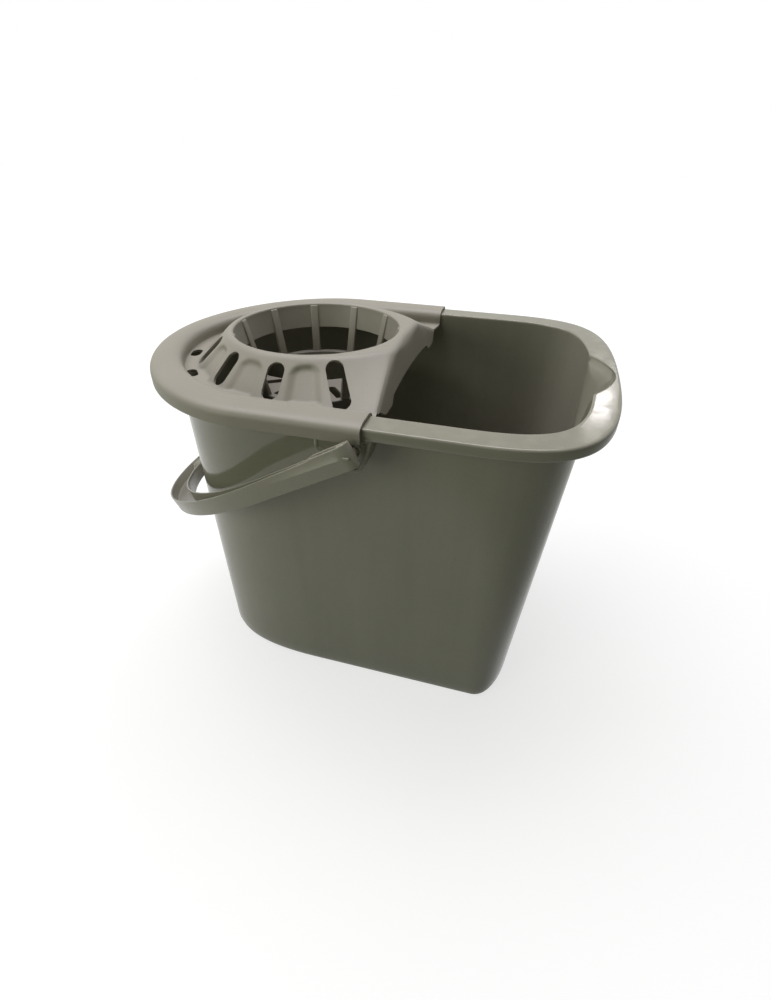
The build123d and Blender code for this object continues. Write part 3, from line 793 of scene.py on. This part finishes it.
def slope(angle):
    """Plan reach and true length of the hood's slope in one direction from the ring's axis."""
    out = hood_radius if abs(angle) >= 90 else hood_radius / math.sin(math.radians(abs(angle)))
    reach = out - lip_radius
    return reach, math.hypot(reach, ring_top - deck_top)


def facing(angle):
    """The direction at an angle in degrees, anticlockwise from the right as seen from above."""
    return np.array([math.cos(math.radians(angle)), math.sin(math.radians(angle))])


flute_top = 0.0058
flute_half_width = 0.0118
flute_flare = 0.105
flute_corner = 0.0095
flute_side = 0.0075
flute_depth = 0.0023
flute_runout = 0.004


def fluted(points):
    """Presses the shallow flutes between the slots into the hood."""
    points = points.copy()
    for angle in (75, 105, 135, 165, -75, -105, -135, -165):
        out = facing(angle)
        reach, length = slope(angle)
        offset = points[:, :2] - np.array([ring_x, 0])
        down = (offset @ out - lip_radius) * length / reach
        across = offset @ np.array([-out[1], out[0]])
        half_width = flute_half_width + flute_flare * np.clip(down - flute_top, 0, None)
        past_side = np.clip(np.abs(across) - half_width + flute_corner, 0, None)
        past_top = np.clip(flute_top + flute_corner - down, 0, None)
        within = flute_corner - np.hypot(past_side, past_top)
        depth = flute_depth * smooth_rise(within, 0, flute_side) * (offset @ out > lip_radius)
        depth = depth * (1 - smooth_rise(down, length, length + flute_runout))
        points[:, :2] -= out * (depth * length / (ring_top - deck_top))[:, None]
    return points


def opened(mesh, holes):
    """Cuts round-ended holes in a skin and draws its mesh onto their edges."""
    made = bmesh.new()
    made.from_mesh(mesh)
    made.normal_update()
    for middle, axis, squeeze, half_run, half_width in holes:
        side = np.array([-axis[1], axis[0]])
        gone = set()
        for face in made.faces:
            away = np.array(face.calc_center_median().xy) - middle
            spot = max(abs(away @ axis) / squeeze - half_run, 0)
            if math.hypot(spot, away @ side) < half_width:
                gone.add(face)
        edge = {v for face in gone for v in face.verts if any(f not in gone for f in v.link_faces)}
        for vert in edge:
            away = np.array(vert.co.xy) - middle
            local = np.array([away @ axis / squeeze, away @ side])
            core = np.array([np.clip(local[0], -half_run, half_run), 0])
            target = core + (local - core) * half_width / np.linalg.norm(local - core)
            move = (target[0] - local[0]) * squeeze * axis + (target[1] - local[1]) * side
            tilt = vert.normal
            vert.co += Vector((move[0], move[1], -(tilt.x * move[0] + tilt.y * move[1]) / max(tilt.z, 0.2)))
        bmesh.ops.delete(made, geom=list(gone), context="FACES")
    made.to_mesh(mesh)
    made.free()
    return mesh


hood_count = len(hood_top)
hood_faces = []
for row in range(len(hood_rows) - 1):
    low, high = row * hood_count, (row + 1) * hood_count
    for spot in range(hood_count):
        after = (spot + 1) % hood_count
        hood_faces.append((low + spot, high + spot, high + after, low + after))
low = (len(hood_rows) - 1) * hood_count
high = len(hood_rows) * hood_count
for row in range(len(deck_rows)):
    for spot in range(open_count - 1):
        hood_faces.append((low + spot, high + spot, high + spot + 1, low + spot + 1))
    low, high = high, high + open_count
wringer_mesh = bpy.data.meshes.new("wringer_moulding")
wringer_mesh.from_pydata(fluted(np.concatenate(hood_rows + deck_rows)).tolist(), [], hood_faces)

slot_head = 0.0057
slot_foot = 0.0011
slot_half_width = 0.0065
drain_half_run = 0.0035
drain_half_width = 0.004
holes = []
for angle in (180, 150, 120, 90, 60, -150, -120, -90, -60):
    reach, length = slope(angle)
    run = length - slot_head - slot_foot
    middle = np.array([ring_x, 0]) + facing(angle) * (lip_radius + (slot_head + run / 2) * reach / length)
    holes.append((middle, facing(angle), reach / length, run / 2 - slot_half_width, slot_half_width))
drain_radius = (hood_radius + ring_x - leg_left) / 2
for angle in (165, 139.5, -165, -139.5):
    middle = np.array([ring_x, 0]) + facing(angle) * drain_radius
    holes.append((middle, facing(angle + 90), 1.0, drain_half_run, drain_half_width))
wringer_mesh = opened(wringer_mesh, holes)
wringer_mesh.shade_smooth()


def walled(made, thickness, edge):
    """Gives a skin its wall behind the face, and breaks the sharp edges."""
    wall = made.modifiers.new("wall", "SOLIDIFY")
    wall.thickness = thickness
    wall.offset = -1
    broken = made.modifiers.new("broken_edges", "BEVEL")
    broken.width = edge
    broken.segments = 2
    broken.limit_method = "ANGLE"
    broken.angle_limit = math.radians(50)
    made.modifiers.new("even_shading", "WEIGHTED_NORMAL").keep_sharp = True


wringer_grey = moulded_grey(
    "wringer_grey",
    colour=(145, 141, 130),
    dullness=0.45,
    sheen_index=1.40,
    waviness=0.20,
    draw=(30.0, 30.0, 30.0),
)
wringer = piece(
    wringer_mesh,
    "wringer",
    "wringer_plastic",
    wringer_grey,
    "rim_cover_end",
    "near_rim_cover",
    "far_rim_cover",
    "drain_deck",
    "slotted_hood",
    "front_apron",
    "basket_band",
)
walled(wringer, wringer_wall, wringer_edge)

# Squeezing bars: upright ribs moulded on the inside of the ring's band, which run on down as free bars.
# They carry the basket floor, and the mop's water leaves between them.
bar_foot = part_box("squeezing_bars")[0].z - 0.0004
bar_head = ring_top - 0.0014
bar_count = 11
bar_width = 0.0068
bar_root = 0.0018
bar_proud_foot = 0.0025
bar_proud_head = 0.0007
bar_rounding = 0.0008
bars = bmesh.new()
for number in range(bar_count):
    out = facing(180 + number * 360 / bar_count)
    side = np.array([-out[1], out[0]])
    spots = []
    for height, proud in ((bar_foot, bar_proud_foot), (bar_head, bar_proud_head)):
        radius = ring_radius - band_taper * max(ring_top - band_straight - height, 0)
        for reach, share in ((-proud, -0.5), (bar_root, -0.5), (bar_root, 0.5), (-proud, 0.5)):
            plan = np.array([ring_x, 0]) + out * (radius + reach) + side * share * bar_width
            spots.append(bars.verts.new((*plan, height)))
    for face in ((3, 2, 1, 0), (4, 5, 6, 7), (0, 1, 5, 4), (1, 2, 6, 5), (2, 3, 7, 6), (3, 0, 4, 7)):
        bars.faces.new([spots[corner] for corner in face])
bmesh.ops.bevel(bars, geom=bars.edges[:], offset=bar_rounding, segments=3, affect="EDGES", profile=0.5)
bmesh.ops.recalc_face_normals(bars, faces=bars.faces)
bar_mesh = bpy.data.meshes.new("basket_bars")
bars.to_mesh(bar_mesh)
bars.free()
bar_mesh.shade_smooth()
bar_mesh.set_sharp_from_angle(angle=math.radians(40))
piece(bar_mesh, "wringer", "wringer_plastic", wringer_grey, "squeezing_bars")

# Basket floor: a moulded disc with a raised edge ring and long drain slots like spokes.
# It is one with the foot of the bars, and its grey is darker all over: painted shade for the dim inside of
# the basket.
pan_low, pan_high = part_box("basket_floor")
pan_radius = pan_high.y
pan_inner = pan_radius - 0.006
pan_floor = pan_low.z + 0.0025
pan_hub = 0.006
pan_soft = 0.0012
pan_wall = 0.0022
pan_edge = 0.0004
spoke_inset = 0.0165
spoke_half_run = 0.0095
spoke_half_width = 0.0035
turn = np.linspace(0, 2 * math.pi, 264, endpoint=False)
profile = [
    (pan_radius, pan_low.z), (pan_radius, pan_low.z + 0.002), (pan_radius, pan_high.z - pan_soft),
    (pan_radius - 0.0003, pan_high.z - 0.0004), (pan_radius - pan_soft, pan_high.z),
    (pan_inner + pan_soft, pan_high.z), (pan_inner + 0.0003, pan_high.z - 0.0004),
    (pan_inner, pan_high.z - pan_soft), (pan_inner, pan_floor + pan_soft),
    (pan_inner - 0.0003, pan_floor + 0.0004), (pan_inner - pan_soft, pan_floor),
]
profile += [(radius, pan_floor) for radius in np.linspace(pan_inner - 0.0028, pan_hub, 34)]
pan_rows = []
for radius, height in profile:
    plan = np.column_stack([ring_x + radius * np.cos(turn), radius * np.sin(turn)])
    pan_rows.append(raised(plan, height))
spokes = []
for number in range(bar_count):
    out = facing(180 + number * 360 / bar_count)
    middle = np.array([ring_x, 0]) + out * (pan_inner - spoke_inset)
    spokes.append((middle, out, 1.0, spoke_half_run, spoke_half_width))
# The pan's grey is the wringer's grey made darker: painted shade for the floor deep in the basket, not a
# colour of its own.
basket_painted_shade_grey = moulded_grey(
    "basket_painted_shade_grey",
    colour=(112, 108, 99),
    dullness=0.45,
    sheen_index=1.40,
    waviness=0.20,
    draw=(30.0, 30.0, 30.0),
)
pan = piece(
    opened(skin("basket_pan", pan_rows, foot_cap=False), spokes),
    "wringer",
    "wringer_plastic",
    basket_painted_shade_grey,
    "basket_floor",
)
walled(pan, pan_wall, pan_edge)

# Studio: a white paper floor, a broad soft light overhead, a weak one low in front and a small window behind.
# The paper and the surroundings glow only for the eye and for reflections, and light the bucket plainly.
# In reflections the paper is dimmer at the right and in front, where the lit part of the sheet ends.
floor_half = 6
floor_height = -0.0003
paper_mirrored = 0.75
paper_dimming = 0.4
world_mirrored = 0.7
world_light = 0.12
floor_plan = ((-1, -1), (1, -1), (1, 1), (-1, 1))
floor_corners = [(x * floor_half, y * floor_half, floor_height) for x, y in floor_plan]
floor_mesh = bpy.data.meshes.new("studio_floor")
floor_mesh.from_pydata(floor_corners, [], [(0, 1, 2, 3)])
studio_floor = bpy.data.objects.new("studio_floor", floor_mesh)
bpy.context.collection.objects.link(studio_floor)


def looked_at(tree, mirrored):
    """1 for what the camera sees, the mirrored share for reflections, 0 for what only lights the bucket."""
    rays = tree.nodes.new("ShaderNodeLightPath")
    camera_ray, mirror_ray, clear_ray = [
        Tone(tree, rays.outputs[name]) for name in ("Is Camera Ray", "Is Glossy Ray", "Is Transmission Ray")
    ]
    return camera_ray + mirror_ray * mirrored + clear_ray


paper = bpy.data.materials.new("white_paper")
paper.use_nodes = True
paper.node_tree.nodes.clear()
place = Tone(paper.node_tree, paper.node_tree.nodes.new("ShaderNodeTexCoord").outputs["Object"])
rightwards = place.node("ShaderNodeSeparateXYZ", {}, {0: place}, 0)
backwards = place.node("ShaderNodeSeparateXYZ", {}, {0: place}, 1)
dim_right = rightwards.step(0.12, 0.30)
dim_front = (rightwards * 0.6 - backwards).step(0.36, 0.46)
dim = place.maths("MAXIMUM", dim_right, dim_front)
seen = looked_at(paper.node_tree, paper_mirrored - dim * paper_dimming)
away = place.node("ShaderNodeVectorMath", {"operation": "LENGTH"}, {0: place}, 1)
matt_colour = seen.blend((0.26, 0.27, 0.22, 1), (0.36, 0.36, 0.36, 1))
matt = seen.node("ShaderNodeBsdfDiffuse", {}, {"Color": matt_colour})
glow_strength = seen * (0.70 + away.step(0.3, 1.8) * 0.30)
glow = seen.node("ShaderNodeEmission", {}, {"Color": (1, 1, 1, 1), "Strength": glow_strength})
both = seen.node("ShaderNodeAddShader", {}, {0: matt, 1: glow})
seen.node("ShaderNodeOutputMaterial", {}, {"Surface": both})
floor_mesh.materials.append(paper)

world = bpy.data.worlds.new("studio")
bpy.context.scene.world = world
world.use_nodes = True
world.node_tree.nodes.clear()
seen = looked_at(world.node_tree, world_mirrored)
sky_colour = seen.blend((0.94, 1.0, 0.80, 1), (1, 1, 1, 1))
sky_strength = world_light + seen * (1 - world_light)
sky = seen.node("ShaderNodeBackground", {}, {"Color": sky_colour, "Strength": sky_strength})
seen.node("ShaderNodeOutputWorld", {}, {"Surface": sky})


def softbox(name, place, target, size, watts, colour):
    """A soft rectangular light, aimed at a spot."""
    light = bpy.data.lights.new(name, "AREA")
    light.shape = "RECTANGLE"
    light.size, light.size_y = size
    light.energy = watts
    light.color = colour
    made = bpy.data.objects.new(name, light)
    bpy.context.collection.objects.link(made)
    made.location = place
    made.rotation_euler = (Vector(target) - Vector(place)).to_track_quat("-Z", "Y").to_euler()


softbox("overhead", (-0.26, 0.30, 1.5), (-0.05, 0.0, 0.2), (1.8, 0.9), 26, (0.98, 0.95, 1.0))
softbox("front_left", (-0.85, -1.1, 0.55), (0, 0, 0.2), (0.8, 0.8), 5.3, (0.96, 1.0, 0.84))
softbox("window", (0.375, 1.45, 0.91), (0.15, 0, 0.26), (0.085, 0.105), 0.27, (1.0, 0.955, 0.95))

# Camera: the photograph's own viewpoint, a little above the rim and close in.
# Its angles, its slight roll, its distance and its focal length were fitted to the bucket's outline.
azimuth, elevation, roll = math.radians(15.42), math.radians(35.02), math.radians(0.65)
distance = 0.54535
focal_pixels = 533.33
picture_pixels = 1000
sensor = 36
look_at = Vector((0.00019, 0.02518, 0.10324))
level = math.cos(elevation)
back = Vector((math.sin(azimuth) * level, -math.cos(azimuth) * level, math.sin(elevation)))
right = Vector((math.cos(azimuth), math.sin(azimuth), 0))
up = back.cross(right)
tilted_right = right * math.cos(roll) + up * math.sin(roll)
tilted_up = up * math.cos(roll) - right * math.sin(roll)
lens = bpy.data.cameras.new("photo_view")
lens.sensor_width = sensor
lens.lens = focal_pixels / picture_pixels * sensor
lens.clip_start = 0.01
camera = bpy.data.objects.new("photo_view", lens)
bpy.context.collection.objects.link(camera)
turned = Matrix((tilted_right, tilted_up, back)).transposed().to_4x4()
camera.matrix_world = Matrix.Translation(look_at + back * distance) @ turned
bpy.context.scene.camera = camera
bpy.context.scene.view_settings.view_transform = "Standard"
